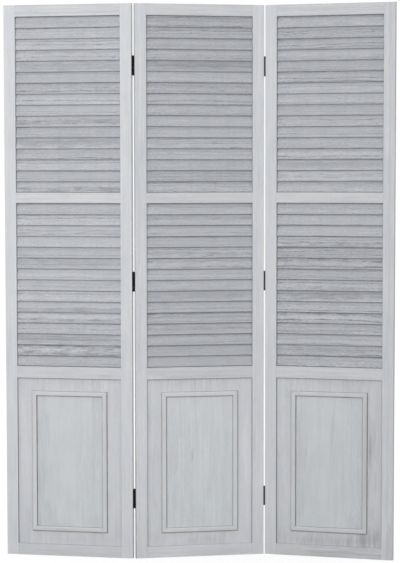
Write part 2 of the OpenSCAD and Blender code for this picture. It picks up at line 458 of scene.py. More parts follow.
@dataclass(frozen=True)
class StaveLay:
    """The lay of a board glued up from upright staves, with a moulding planted on it.

    The lines are the widths of the painted shadows beside the moulding's strips: to the left of a
    strip, right, above and below, wider to the right and below, away from the key lamp. The
    margin's tinge goes on inside the moulding for tinge_reach of these widths.
    """

    stand: Stand
    node: str
    number: int
    opening: Opening
    moulding: str
    stave: float = 0.104
    strip: float = 0.014
    line_left: float = 0.0019
    line_right: float = 0.0034
    line_above: float = 0.0011
    line_below: float = 0.0028
    tinge_reach: float = 8.0
    tinge_share: float = 0.6

    def along_strips(self, graph: Graph, u: Signal, z: Signal) -> tuple[Signal, Signal]:
        """Finds how far a point is from the moulding's strips.

        Args:
            graph: The material's graph.
            u: The point's place to the right.
            z: The point's height.

        Returns:
            The distance outside the moulding and the one inside it, in widths of the painted shadow
            line there, each below 0 on its other side.
        """
        low, high = self.stand.box(self.moulding)
        outside = graph.most(
            (low.x - u) / self.line_left, (u - high.x) / self.line_right,
            (z - high.z) / self.line_above, (low.z - z) / self.line_below,
        )
        inside = graph.least(
            (u - low.x - self.strip) / self.line_right, (high.x - self.strip - u) / self.line_left,
            (high.z - self.strip - z) / self.line_below, (z - low.z - self.strip) / self.line_above,
        )
        return outside, inside

    def cut(self, graph: Graph) -> Cut:
        """Finds a surface point in its stave.

        Args:
            graph: The material's graph.

        Returns:
            The point, with its distance from the stave's glue line.
        """
        low, high = self.stand.box(self.node)
        middle = (low + high) / 2
        u, v, z = graph.parts(self.stand.place(graph))
        outside, inside = self.along_strips(graph, u, z)
        behind = graph.math("GREATER_THAN", v, middle.y)
        crease = graph.least(self.opening.crease(graph, u, z), graph.most(outside, inside, behind * FAR))
        edge = graph.step(inside, self.tinge_reach, 0.0) * self.tinge_share
        margin = graph.most(graph.step(outside, -1.0, 1.0), edge, behind)
        count = (u - low.x) / self.stave
        stave = graph.math("FLOOR", count)
        share = count - stave
        rub = graph.least(share, 1.0 - share) * self.stave
        across = (share - 0.5) * self.stave
        chance = graph.draw(stave + self.number)
        return Cut(across, v - middle.y, z - middle.z, rub, crease, (u, z), chance, margin)


@dataclass(frozen=True)
class LouvreLay:
    """The lay of a bay of leaning slats, each cut from its own piece of wood.

    The lean is from the upright, and the width and the thickness are a slat's own.
    """

    stand: Stand
    node: str
    number: int
    count: int
    opening: Opening
    lean: float = math.radians(12.0)
    width: float = 0.036
    thickness: float = 0.005

    def cut(self, graph: Graph) -> Cut:
        """Finds a surface point in its slat.

        Args:
            graph: The material's graph.

        Returns:
            The point, with its distance from the slat's round edges.
        """
        low, high = self.stand.box(self.node)
        cosine, sine = math.cos(self.lean), math.sin(self.lean)
        rise = (self.width - self.thickness) * cosine + self.thickness
        pitch = (high.z - low.z - rise) / (self.count - 1)
        u, v, z = graph.parts(self.stand.place(graph))
        below = (high.z - rise / 2) - z
        # Square to their faces the slats lie pitch * sin(lean) apart, the highest first.
        row = graph.math("ROUND", (v * cosine + below * sine) / (pitch * sine))
        above = row * pitch - below
        across = above * cosine + v * sine
        depth = v * cosine - above * sine
        rub = self.width / 2 - abs(across)
        crease = self.opening.crease(graph, u, z)
        return Cut(across, depth, u, rub, crease, (u, z), graph.draw(row + self.number))


@dataclass(frozen=True)
class MitredLay:
    """The lay of the four mitred strips of a moulding.

    The base line is the line of painted shade where the strips meet the board behind them.
    """

    stand: Stand
    node: str
    number: int
    width: float = 0.014
    base_line: float = 0.0016

    def cut(self, graph: Graph) -> Cut:
        """Finds a surface point in its strip.

        Args:
            graph: The material's graph.

        Returns:
            The point, with its distance from the strip's long edges.
        """
        low, high = self.stand.box(self.node)
        middle, half = (low + high) / 2, (high - low) / 2
        u, v, z = graph.parts(self.stand.place(graph))
        spot = (u, z)
        u, v, z = u - middle.x, v - middle.y, z - middle.z
        from_side, from_end = half.x - abs(u), half.z - abs(z)
        upright = graph.math("LESS_THAN", from_side, from_end)
        inward = graph.least(from_side, from_end)
        upper, right = graph.math("GREATER_THAN", z, 0.0), graph.math("GREATER_THAN", u, 0.0)
        # 0 for the lower strip, 1 for the upper, 2 for the left and 3 for the right.
        strip = upright * 2.0 + graph.blend(upright, upper, right)
        along = graph.blend(upright, u, z)
        rub = graph.least(inward, self.width - inward)
        crease = (half.y - v) / self.base_line
        return Cut(inward - self.width / 2, v, along, rub, crease, spot, graph.draw(strip + self.number))


Lay = Union[StraightLay, StaveLay, LouvreLay, MitredLay]


@dataclass(frozen=True)
class Flow:
    """Unevenness drawn out along the grain.

    The width and the length are those of one blotch, and its depth is given in widths.
    """

    width: float
    length: float
    strength: float = 1.0
    depth: float = 1.0
    detail: float = 2.0
    roughness: float = 0.6

    def draw(self, graph: Graph, cut: Cut, aside: Number = 0.0, onward: Number = 0.0) -> Signal:
        """Draws the unevenness at a point.

        Args:
            graph: The material's graph.
            cut: The point in its plank.
            aside: Shift of the pattern across the grain, in blotches.
            onward: Shift along the grain.

        Returns:
            The unevenness from 0 to 1, 0.5 on the whole.
        """
        across, along = cut.across / self.width + aside, cut.along / self.length + onward
        place = graph.point(across, cut.depth / (self.width * self.depth), along)
        return graph.noise(place, self.detail, self.roughness)


@dataclass(frozen=True)
class Mark:
    """A soft darker patch, or a paler one where dark is below 0.

    Its middle is at u and z on the panel, to the right and up. Only one that goes through
    shows on the back. Some marks are painted shade, as noted where they are listed.
    """

    u: float
    z: float
    half_u: float
    half_z: float
    dark: float
    through: bool = False


@dataclass(frozen=True)
class WearAndShade:
    """How one piece differs from others of its finish, its painted shade included.

    The tone is how light it is and the vigour how strong its grain shows. The edge shade line is
    the width of a line of painted shadow along its rubbed edges, if it has one.
    """

    tone: float = 1.0
    marks: tuple[Mark, ...] = ()
    vigour: float = 1.0
    edge_shade_line: float = 0.0


@dataclass(frozen=True)
class Whitewash:
    """Thin brushed whitewash on pale open-grained wood, rubbed at the edges, with painted shade in its
    corners and creases.

    A range holds the value where something starts to show and the one where it shows in full.
    """

    paint: Colour
    undertone: Colour
    late_wood: Colour
    bare_wood: Colour = chip(196, 184, 160)
    shade_and_joint: Colour = chip(70, 68, 70)
    margin_tinge: Colour = (1.0, 0.98, 0.995, 1.0)
    # The tree's heart, aside of the plank and behind it, and the growth rings round it.
    heart_across: float = 0.03
    heart_depth: float = 0.05
    heart_least: float = 0.35
    wander: float = 0.006
    wander_length: float = 0.16
    ring_gap: float = 0.0034
    ring_tear: Flow = Flow(0.005, 0.035, 1.2, depth=1.4, detail=3.0)
    ring_range: Pair = (0.46, 0.68)
    ring_strength: float = 0.30
    # How many blotches apart chance puts the patterns of two pieces, and of two flows.
    wander_scatter: Pair = (90.0, 70.0)
    ring_scatter: float = 500.0
    flow_scatter: float = 3.0
    flow_shift: float = 11.0
    pore_shift: float = 7.0
    # The wood's pores and the wash's unevenness.
    pore: Flow = Flow(0.0013, 0.02, roughness=0.5)
    pore_range: Pair = (0.56, 0.7)
    pore_strength: float = 0.4
    fibre: Flow = Flow(0.0011, 0.03, 0.12)
    fleck: Flow = Flow(0.0024, 0.011, 0.12)
    streak: Flow = Flow(0.005, 0.12, 0.18)
    brush: Flow = Flow(0.009, 0.25, 0.12)
    blotch: Flow = Flow(0.05, 0.12, 0.10)
    cast: Flow = Flow(0.04, 0.09)
    cast_range: Pair = (0.3, 0.7)
    thin_range: Pair = (0.3, 0.7)
    thin_least: float = 0.15
    warm_range: Pair = (0.52, 0.8)
    warmth: float = 0.25
    piece_spread: float = 0.04
    vigour_spread: float = 0.6
    # Marks, rubbed edges, and painted shade in corners and creases, drawn in the same dark colour as the
    # joint lines at the rails' ends.
    mark_fade: float = 0.003
    mark_fray: float = 1.6
    rub_fray: Flow = Flow(0.004, 0.012, 1.2, detail=3.0)
    rub_width: float = 0.0012
    rub_range: Pair = (0.5, -0.1)
    rub_cast_range: Pair = (0.35, 0.65)
    rub_strength: float = 0.35
    shade_and_joint_blotch: float = 0.03
    shade_and_joint_least: float = 0.6
    shade_and_joint_swing: float = 0.8
    shade_and_joint_strength: float = 0.94
    # Gloss and relief. The heights are shares of the relief.
    roughness: float = 0.62
    bare_matt: float = 0.1
    brush_gloss: float = 0.08
    relief: float = 0.00012
    bump: float = 0.6
    fibre_height: float = 0.5
    ring_height: float = -0.6
    pore_height: float = -0.5

    def figure(self, graph: Graph, cut: Cut) -> Signal:
        """Draws the growth rings where the plank's face cuts through them.

        Args:
            graph: The material's graph.
            cut: The point in its plank.

        Returns:
            1 in the dark late wood, 0 in the pale early wood.
        """
        first, second, third = cut.chance
        apart, deeper = self.wander_scatter
        place = graph.point(cut.along / self.wander_length, first * apart, second * deeper)
        drift = graph.noise(place, detail=1.0)
        # The drift keeps between a quarter and three quarters, hence the 4.
        aside = cut.across + (first - 0.5) * (2 * self.heart_across) + (drift - 0.5) * (4 * self.wander)
        behind = cut.depth + self.heart_depth * (self.heart_least + second * (1.0 - self.heart_least))
        tear = (self.ring_tear.draw(graph, cut) - 0.5) * (self.ring_tear.strength * self.ring_gap)
        heart = graph.math("SQRT", aside * aside + behind * behind) + tear
        count = heart / self.ring_gap + third * self.ring_scatter
        return graph.step(graph.noise_along(count, detail=3.0, roughness=0.65), *self.ring_range)

    def stain_and_shade(self, graph: Graph, cut: Cut, wear_and_shade: WearAndShade, uneven: Signal) -> Number:
        """Adds up a piece's marks at a point.

        Args:
            graph: The material's graph.
            cut: The point in its plank.
            wear_and_shade: The piece's wear and painted shade.
            uneven: Noise that frays the marks' edges.

        Returns:
            How much the marks darken the point, a share of 1.
        """
        u, z = cut.spot
        front = graph.step(cut.depth, self.mark_fade, -self.mark_fade)
        total = 0.0
        for mark in wear_and_shade.marks:
            aside, above = (u - mark.u) / mark.half_u, (z - mark.z) / mark.half_z
            reach = graph.math("SQRT", aside * aside + above * above) + (uneven - 0.5) * self.mark_fray
            share = graph.step(reach, 1.0, 0.0) * mark.dark
            total = total + (share if mark.through else share * front)
        return total

    def material(self, name: str, lay: Lay, wear_and_shade: WearAndShade) -> bpy.types.Material:
        """Makes the finish for one piece.

        Args:
            name: The material's name.
            lay: How the piece was cut.
            wear_and_shade: How the piece differs from others, painted shade included.

        Returns:
            The material.
        """
        made = bpy.data.materials.new(name)
        graph = Graph(made)
        cut = lay.cut(graph)
        chance = cut.chance
        vigour = (1.0 + (chance[1] - 0.5) * (2 * self.vigour_spread)) * wear_and_shade.vigour
        late = self.figure(graph, cut)
        pores = graph.step(self.pore.draw(graph, cut, self.pore_shift), *self.pore_range)
        shift = chance[2] * self.flow_scatter
        flows = (self.fibre, self.fleck, self.streak, self.brush, self.blotch, self.cast)
        shifts = [shift + self.flow_shift * order for order in range(len(flows))]
        fibre, fleck, streak, brush, blotch, cast = [
            flow.draw(graph, cut, flow_shift, flow_shift) for flow, flow_shift in zip(flows, shifts)
        ]

        colour = graph.tint(graph.step(cast, *self.cast_range), self.paint, self.undertone)
        colour = graph.tint(cut.margin, colour, self.margin_tinge, "MULTIPLY")
        thin = graph.step(streak, *self.thin_range) + self.thin_least
        grain = (late + pores * self.pore_strength) * thin * vigour * self.ring_strength
        colour = graph.tint(grain, colour, self.late_wood)
        warm = graph.step(blotch, *self.warm_range) * self.warmth
        colour = graph.tint(warm, colour, self.bare_wood, "MULTIPLY")
        even = 1.0 + (chance[0] - 0.5) * self.piece_spread
        uneven = (
            (fibre - 0.5) * self.fibre.strength
            + (fleck - 0.5) * self.fleck.strength * vigour
            + (streak - 0.5) * self.streak.strength * vigour
            + (brush - 0.5) * self.brush.strength
            + (blotch - 0.5) * self.blotch.strength
        )
        stain_and_shade = self.stain_and_shade(graph, cut, wear_and_shade, streak)
        colour = graph.scaled(colour, (even + uneven) * (1.0 - stain_and_shade) * wear_and_shade.tone)

        fray = self.rub_fray.draw(graph, cut) * self.rub_fray.strength
        rubbed = graph.step(cut.rub / self.rub_width - fray, *self.rub_range)
        rubbed = rubbed * graph.step(cast, *self.rub_cast_range) * self.rub_strength
        colour = graph.tint(rubbed, colour, self.bare_wood)
        # Painted shade: dark lines in corners and creases, beside the moulding and along the slats' edges,
        # in one blotchy dark colour that also draws the real dark joint lines at the rails' ends.
        u, z = cut.spot
        blotches = graph.noise(graph.point(u / self.shade_and_joint_blotch, z / self.shade_and_joint_blotch, shift))
        shade_and_joint_reach = blotches * self.shade_and_joint_swing + self.shade_and_joint_least
        crease = graph.least(cut.crease, cut.rub / wear_and_shade.edge_shade_line) if wear_and_shade.edge_shade_line else cut.crease
        shade_and_joint_share = graph.step(shade_and_joint_reach * crease, 1.0, 0.0) * self.shade_and_joint_strength
        colour = graph.tint(shade_and_joint_share, colour, self.shade_and_joint)

        height = fibre * self.fibre_height + late * self.ring_height + pores * self.pore_height
        bump = graph.signal("Bump", None, {"Strength": self.bump, "Distance": self.relief, "Height": height})
        matt = self.roughness + late * self.bare_matt + rubbed * self.bare_matt
        roughness = matt - brush * self.brush_gloss
        sockets = {"Base Color": colour, "Roughness": roughness, "Normal": bump}
        graph.surface(graph.signal("BsdfPrincipled", None, sockets))
        return made


@dataclass(frozen=True)
class BlackSteel:
    """Satin black coating on pressed steel, with a fine orange-peel surface.

    The grain and the cloud are the sizes of small and large blotches. Dust lies in the large.
    """

    coat: Colour = chip(28, 28, 30)
    dust: Colour = chip(74, 74, 76)
    grain: float = 0.0009
    cloud: float = 0.012
    dust_fray: float = 0.3
    dust_range: Pair = (0.62, 0.85)
    dust_strength: float = 0.5
    roughness: float = 0.42
    grain_matt: float = 0.12
    dust_matt: float = 0.2
    relief: float = 0.00005
    bump: float = 0.3

    def material(self, name: str) -> bpy.types.Material:
        """Makes the finish.

        Args:
            name: The material's name.

        Returns:
            The material.
        """
        made = bpy.data.materials.new(name)
        graph = Graph(made)
        axes = graph.parts(graph.signal("TexCoord", output="Object"))
        fine = graph.noise(graph.point(*[axis / self.grain for axis in axes]), roughness=0.6)
        cloud = graph.noise(graph.point(*[axis / self.cloud for axis in axes]), detail=3.0, roughness=0.6)
        dusty = graph.step(cloud + fine * self.dust_fray, *self.dust_range) * self.dust_strength
        bump = graph.signal("Bump", None, {"Strength": self.bump, "Distance": self.relief, "Height": fine})
        colour = graph.tint(dusty, self.coat, self.dust)
        roughness = self.roughness + fine * self.grain_matt + dusty * self.dust_matt
        sockets = {"Base Color": colour, "Roughness": roughness, "Normal": bump}
        graph.surface(graph.signal("BsdfPrincipled", None, sockets))
        return made


FRAME_WOOD = Whitewash(
    paint=chip(205, 206, 208), undertone=chip(201, 204, 209), late_wood=chip(178, 180, 185),
    heart_across=0.12, heart_depth=0.10, wander=0.003, wander_length=0.35, warmth=0.06,
    streak=Flow(0.006, 0.12, 0.24), brush=Flow(0.009, 0.25, 0.16), blotch=Flow(0.05, 0.12, 0.16),
    cast=Flow(0.025, 0.06), vigour_spread=0.3,
)
SLAT_WOOD = Whitewash(
    paint=chip(178, 179, 184), undertone=chip(175, 179, 184), late_wood=chip(115, 116, 122),
    heart_depth=0.045, wander=0.003, ring_gap=0.0032, ring_strength=0.72, pore_strength=0.6,
    fleck=Flow(0.0024, 0.009, 0.62), streak=Flow(0.0045, 0.045, 0.5), blotch=Flow(0.05, 0.08, 0.2),
    warmth=0.08, piece_spread=0.12, vigour_spread=0.3, rub_strength=0.1,
)
BOARD_WOOD = Whitewash(
    paint=chip(201, 206, 208), undertone=chip(202, 204, 208), late_wood=chip(179, 183, 187),
    heart_depth=0.06, wander=0.010, wander_length=0.3, ring_gap=0.004, pore_strength=0.2,
    streak=Flow(0.006, 0.08, 0.14), brush=Flow(0.014, 0.2, 0.12), blotch=Flow(0.05, 0.12, 0.22),
    warmth=0.08, rub_strength=0.0,
)
MOULDING_WOOD = Whitewash(
    paint=chip(204, 206, 207), undertone=chip(201, 202, 206), late_wood=chip(184, 185, 188),
    bare_wood=chip(200, 190, 168), heart_across=0.1, heart_depth=0.08, wander=0.002,
    ring_strength=0.2, cast=Flow(0.02, 0.07), rub_strength=0.5,
)
DOWEL_WOOD = Whitewash(
    paint=chip(200, 176, 140), undertone=chip(194, 168, 130), late_wood=chip(168, 138, 98),
    ring_strength=0.5, rub_strength=0.0, shade_and_joint_strength=0.0,
)
HINGE_STEEL = BlackSteel()
SCREW_STEEL = BlackSteel(coat=chip(36, 36, 38), roughness=0.36)


def dress(node: str, material: bpy.types.Material) -> None:
    """Puts a material on a piece of the frame.

    Args:
        node: The piece's name.
        material: The material.
    """
    piece = frame["nodes"][node]
    if not piece.material_slots:
        piece.data.materials.append(material)
    for slot in piece.material_slots:
        slot.material = material
    log.info("dressed %s", node)


def show(name: str, data: bpy.types.ID) -> bpy.types.Object:
    """Puts a mesh, a lamp or a camera into the scene.

    Args:
        name: The object's name.
        data: What the object shows.

    Returns:
        The object.
    """
    shown = bpy.data.objects.new(name, data)
    bpy.context.scene.collection.objects.link(shown)
    log.info("added %s", name)
    return shown


@dataclass
class Panel:
    """One panel of the screen: its frame, two bays of slats, board and moulding.

    The number starts its pieces' chance values. The lines are the widths of the painted shade lines
    round its openings.
    """

    name: str
    number: int
    wear_and_shade: dict[str, WearAndShade]
    stiles: tuple[str, ...] = ("left_stile", "right_stile")
    rails: tuple[str, ...] = ("top_rail", "upper_mid_rail", "lower_mid_rail", "bottom_rail")
    upper_slats: int = 16
    lower_slats: int = 15
    numbers_apart: int = 100
    slat_lines: Triple = (0.0020, 0.0030, 0.0002)
    board_lines: Triple = (0.0028, 0.0007, 0.0024)

    def dress(self) -> None:
        """Dresses every wooden piece of the panel."""
        stand = Stand.of(self.name)
        upper = Opening.between(stand, "upper_mid_rail", "top_rail", self.slat_lines)
        lower = Opening.between(stand, "lower_mid_rail", "upper_mid_rail", self.slat_lines)
        lowest = Opening.between(stand, "bottom_rail", "lower_mid_rail", self.board_lines)
        pieces = (
            *[(stile, FRAME_WOOD, StraightLay, (Grain.UPRIGHT,)) for stile in self.stiles],
            *[(rail, FRAME_WOOD, StraightLay, (Grain.LEVEL,)) for rail in self.rails],
            ("upper_slats", SLAT_WOOD, LouvreLay, (self.upper_slats, upper)),
            ("lower_slats", SLAT_WOOD, LouvreLay, (self.lower_slats, lower)),
            ("board", BOARD_WOOD, StaveLay, (lowest, f"{self.name}_moulding")),
            ("moulding", MOULDING_WOOD, MitredLay, ()),
            ("dowels", DOWEL_WOOD, StraightLay, (Grain.LEVEL,)),
        )
        for order, (piece, finish, kind, details) in enumerate(pieces):
            node = f"{self.name}_{piece}"
            lay = kind(stand, node, self.number + self.numbers_apart * order, *details)
            dress(node, finish.material(f"{node}_wood", lay, self.wear_and_shade.get(piece, WearAndShade())))


def rail(tone: float, *marks: Mark) -> WearAndShade:
    """Returns the wear and painted shade of a rail, whose grain shows more than a stile's."""
    return WearAndShade(tone, marks, vigour=1.4)


def slat(z: float, dark: float) -> Mark:
    """Returns a mark at a slat's height that covers it from end to end and no other slat."""
    return Mark(u=0.0, z=z, half_u=0.5, half_z=0.017, dark=dark)


# How the pieces of each panel differ from others of their finish. Some marks are painted shade,
# noted above them.
LEFT_WEAR_AND_SHADE = {
    "left_stile": WearAndShade(1.0, (Mark(-0.182, 0.08, 0.05, 0.18, 0.035), Mark(-0.182, 0.93, 0.05, 0.24, -0.03))),
    "right_stile": WearAndShade(1.02),
    "top_rail": rail(0.935),
    "upper_mid_rail": rail(0.97, Mark(0.14, 1.11, 0.07, 0.03, 0.03)),
    "lower_mid_rail": rail(0.97, Mark(0.105, 0.565, 0.06, 0.012, 0.11)),
    "bottom_rail": rail(0.92),
    "upper_slats": WearAndShade(1.015, (slat(1.514, 0.2), slat(1.278, 0.25)), vigour=0.92),
    "lower_slats": WearAndShade(1.04, (
        slat(0.91, 0.16), slat(0.741, -0.1),
        slat(0.674, 0.27), slat(0.64, -0.14),
    ), vigour=0.88),
    # Painted shade on the board: the band just above the bottom rail at z 0.05 and the shadow under the
    # lower middle rail at z 0.54.
    "board": WearAndShade(0.98, (
        Mark(-0.035, 0.12, 0.012, 0.07, -0.07), Mark(-0.062, 0.14, 0.012, 0.06, 0.06),
        Mark(-0.07, 0.4, 0.02, 0.08, 0.05), Mark(0.02, 0.05, 0.15, 0.02, 0.05),
        Mark(-0.142, 0.32, 0.03, 0.28, -0.07), Mark(0.142, 0.32, 0.03, 0.28, -0.06),
        Mark(-0.092, 0.3, 0.025, 0.28, 0.06), Mark(-0.07, 0.1, 0.12, 0.07, 0.05),
        Mark(-0.01, 0.2, 0.03, 0.05, 0.03), Mark(0.0, 0.54, 0.12, 0.03, 0.07),
    )),
    # The first mark darkens the right strip: partly painted shadow, partly dark streaks.
    "moulding": WearAndShade(1.0, (Mark(0.112, 0.28, 0.03, 0.34, 0.06), Mark(0.0, 0.08, 0.14, 0.02, 0.05))),
}
MIDDLE_WEAR_AND_SHADE = {
    "left_stile": WearAndShade(0.99, (
        Mark(-0.182, 0.36, 0.05, 0.34, -0.06), Mark(-0.182, 1.3, 0.05, 0.42, 0.02),
        # These two marks are painted shade on the stile's left end face in the fold, the lower one darker
        # towards the floor.
        Mark(-0.2005, 0.85, 0.003, 20.0, 0.2), Mark(-0.2005, 0.0, 0.003, 0.5, 0.3),
    )),
    "right_stile": WearAndShade(1.025),
    "top_rail": rail(0.94),
    "upper_mid_rail": rail(0.96, Mark(-0.15, 1.11, 0.06, 0.03, 0.045)),
    "lower_mid_rail": rail(0.92, Mark(-0.09, 0.57, 0.09, 0.03, 0.03)),
    "bottom_rail": rail(1.015),
    "upper_slats": WearAndShade(1.0, (slat(1.648, 0.13), slat(1.514, 0.27)), vigour=0.93),
    # The lower slats' edge line is painted shadow between the slats.
    "lower_slats": WearAndShade(1.03, (slat(0.809, 0.22),), vigour=0.66, edge_shade_line=0.0005),
    # Painted shade on the board: the bands just above the bottom rail at z 0.04 to 0.05 and the shadow under
    # the lower middle rail at z 0.54.
    "board": WearAndShade(1.015, (
        Mark(-0.026, 0.37, 0.004, 0.08, -0.09), Mark(-0.036, 0.4, 0.006, 0.07, 0.1),
        Mark(-0.024, 0.31, 0.005, 0.03, 0.12), Mark(0.02, 0.052, 0.08, 0.014, 0.08),
        Mark(-0.03, 0.05, 0.006, 0.024, 0.06), Mark(0.0, 0.04, 0.16, 0.01, 0.05),
        Mark(-0.157, 0.46, 0.014, 0.12, 0.07), Mark(-0.108, 0.19, 0.02, 0.08, 0.04),
        Mark(-0.03, 0.54, 0.16, 0.03, 0.07), Mark(0.07, 0.42, 0.03, 0.09, -0.02),
        Mark(0.142, 0.3, 0.03, 0.28, -0.08),
    )),
    "moulding": WearAndShade(1.02),
}
RIGHT_WEAR_AND_SHADE = {
    "left_stile": WearAndShade(0.98, (Mark(-0.182, 0.82, 0.05, 0.2, -0.025),)),
    "right_stile": WearAndShade(0.94, (
        # The first mark is painted shade on the panel's right end face, which turns away from the key lamp.
        Mark(0.2005, 0.85, 0.0012, 20.0, 0.36, through=True), Mark(0.19, 0.05, 0.02, 0.12, 0.11),
        Mark(0.182, 0.58, 0.05, 0.08, 0.03),
    )),
    "top_rail": rail(0.915),
    "upper_mid_rail": rail(0.94, Mark(0.16, 1.11, 0.05, 0.03, 0.03)),
    "lower_mid_rail": rail(0.95),
    "bottom_rail": rail(
        0.9,
        Mark(0.05, 0.016, 0.14, 0.016, 0.16), Mark(-0.042, 0.018, 0.034, 0.022, 0.12),
        Mark(0.17, 0.018, 0.05, 0.022, 0.06),
    ),
    "upper_slats": WearAndShade(1.0, (slat(1.244, -0.16), slat(1.211, 0.2), slat(1.177, -0.18)), vigour=0.84),
    # The lower slats' edge line is painted shadow between the slats.
    "lower_slats": WearAndShade(0.995, (
        slat(0.809, 0.25), slat(0.741, -0.16),
        slat(0.64, 0.18),
    ), vigour=1.1, edge_shade_line=0.0004),
    # Painted shade on the board: the band just above the bottom rail at z 0.05 and the shadow under the
    # lower middle rail at z 0.54. The marks beside the moulding's right strip, near u 0.13 to 0.15, are
    # partly its painted shadow and partly dark streaks.
    "board": WearAndShade(0.945, (
        Mark(-0.142, 0.3, 0.03, 0.28, -0.05), Mark(-0.092, 0.3, 0.025, 0.28, 0.06),
        Mark(0.011, 0.4, 0.008, 0.1, 0.09), Mark(0.135, 0.36, 0.022, 0.09, 0.14),
        Mark(0.128, 0.34, 0.007, 0.12, 0.24), Mark(0.146, 0.24, 0.004, 0.07, 0.12),
        Mark(0.13, 0.06, 0.08, 0.05, 0.25), Mark(0.148, 0.42, 0.02, 0.08, 0.05),
        Mark(0.146, 0.12, 0.03, 0.09, 0.05), Mark(0.0, 0.05, 0.2, 0.026, 0.14),
        Mark(-0.1, 0.046, 0.006, 0.016, 0.08), Mark(-0.055, 0.052, 0.004, 0.02, 0.1),
        Mark(-0.022, 0.044, 0.005, 0.014, 0.1), Mark(0.03, 0.046, 0.006, 0.016, 0.08),
        Mark(0.062, 0.05, 0.005, 0.022, 0.12), Mark(-0.12, 0.5, 0.05, 0.03, 0.07),
        Mark(-0.1, 0.17, 0.02, 0.08, 0.04), Mark(0.02, 0.54, 0.18, 0.03, 0.065),
    )),
    # This mark darkens the right strip: partly painted shadow, partly dark streaks.
    "moulding": WearAndShade(0.95, (Mark(0.112, 0.28, 0.03, 0.34, 0.12),)),
}


@dataclass
class Hinges:
    """The six butt hinges: their leaves and pins."""

    folds: tuple[str, ...] = ("left", "right")
    levels: tuple[str, ...] = ("top", "middle", "bottom")
    parts: tuple[str, ...] = ("left_leaf", "right_leaf", "pin")

    def dress(self) -> None:
        """Dresses every piece of the hinges."""
        steel = HINGE_STEEL.material("hinge_steel")
        for fold in self.folds:
            for level in self.levels:
                for part in self.parts:
                    dress(f"{fold}_{level}_hinge_{part}", steel)

    def heights(self) -> list[float]:
        """Returns the height of the middle of each hinge, from the top down."""
        pins = [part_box(f"left_{level}_hinge_pin") for level in self.levels]
        return [(low.z + high.z) / 2 for low, high in pins]


@dataclass
class ScrewSet:
    """The cross-headed countersunk screws along one stile's edge, -1 the left and 1 the right.

    The recess in a head is a cross that narrows to its floor, and the floor dips to a point.
    """

    panel: str
    node: str
    side: int
    screws: int = 3
    pitch: float = 0.02
    head_radius: float = 0.0026
    shank_radius: float = 0.0015
    tip_radius: float = 0.000375
    length: float = 0.012
    point_length: float = 0.003
    recess_reach: float = 0.0016
    recess_half_width: float = 0.00036
    recess_depth: float = 0.0011
    recess_taper: float = 0.55
    recess_dip: float = 1.3
    turn_swing: float = 1.7
    turn_rate: float = 40.0
    quarter_segments: int = 6

    def recess_outline(self) -> list[Vector]:
        """Draws the cross on the head's face.

        Returns:
            The outline's points, four to a quarter.
        """
        reach, half = self.recess_reach, self.recess_half_width
        corners = ((reach, 0.0), (reach, half), (half, half), (half, reach))
        turns = [Matrix.Rotation(quarter * math.pi / 2, 3, "Z") for quarter in range(4)]
        return [turn @ Vector((x, y, 0.0)) for turn in turns for x, y in corners]

    def add_screw(self, mesh: bmesh.types.BMesh, place: Matrix) -> None:
        """Adds one screw, its head's face on the plane z = 0 and its point at -z.

        Args:
            mesh: The mesh that the screw goes into.
            place: Where the screw goes.
        """
        segments = 4 * self.quarter_segments
        angles = [2 * math.pi * i / segments for i in range(segments)]
        circle = [(math.cos(angle), math.sin(angle)) for angle in angles]
        rings = []
        for radius, depth in (
            (self.head_radius, 0.0),
            (self.shank_radius, self.head_radius - self.shank_radius),
            (self.shank_radius, self.length - self.point_length),
            (self.tip_radius, self.length),
        ):
            points = [Vector((radius * x, radius * y, -depth)) for x, y in circle]
            rings.append([mesh.verts.new(place @ point) for point in points])
        for upper, lower in zip(rings, rings[1:]):
            for i in range(segments):
                after = (i + 1) % segments
                mesh.faces.new((upper[i], lower[i], lower[after], upper[after]))
        mesh.faces.new(rings[-1])
        outline = self.recess_outline()
        count = len(outline)
        sink = Vector((0.0, 0.0, self.recess_depth))
        rim = [mesh.verts.new(place @ point) for point in outline]
        floor = [mesh.verts.new(place @ (point * self.recess_taper - sink)) for point in outline]
        edge, cross = rings[0] + rings[0][:1], rim + rim[:1]
        for quarter in range(4):
            arm, corner, inner, next_corner, next_arm = cross[4 * quarter:4 * quarter + 5]
            start = quarter * self.quarter_segments
            arc = edge[start:start + self.quarter_segments + 1]
            # Two of the quarter's six segments are joined to each of these three points.
            fans = (
                (corner, (arm, *arc[:2])), (corner, arc[1:3]),
                (inner, (corner, *arc[2:4])), (inner, (*arc[3:5], next_corner)),
                (next_corner, arc[4:6]), (next_corner, (*arc[5:7], next_arm)),
            )
            for apex, others in fans:
                mesh.faces.new((apex, *others))
        for i in range(count):
            after = (i + 1) % count
            mesh.faces.new((rim[i], rim[after], floor[after], floor[i]))
        middle = mesh.verts.new(place @ (-sink * self.recess_dip))
        for i in range(count):
            mesh.faces.new((floor[i], floor[(i + 1) % count], middle))

    def build(self, heights: list[float]) -> bpy.types.Object:
        """Builds the screws in place of the frame's plain ones.

        Args:
            heights: The height of the middle of each hinge.

        Returns:
            The piece that holds all the screws of this edge.
        """
        stand = Stand.of(self.panel)
        low, high = stand.box(self.node)
        face = low.x if self.side < 0 else high.x
        outward = Matrix.Rotation(self.side * math.pi / 2, 4, "Y")
        mesh = bmesh.new()
        for height in heights:
            for step in range(self.screws):
                level = height + (step - (self.screws - 1) / 2) * self.pitch
                turn = Matrix.Rotation(self.turn_swing * (level * self.turn_rate % 1) + step, 4, "Z")
                where = Matrix.Translation((face, (low.y + high.y) / 2, level))
                self.add_screw(mesh, stand.matrix() @ where @ outward @ turn)
        bmesh.ops.recalc_face_normals(mesh, faces=mesh.faces)
        data = bpy.data.meshes.new(self.node + "_cross_heads")
        mesh.to_mesh(data)
        mesh.free()
        piece = show(self.node + "_cross_heads", data)
        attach(piece, self.panel)
        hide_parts(self.node)
        return piece


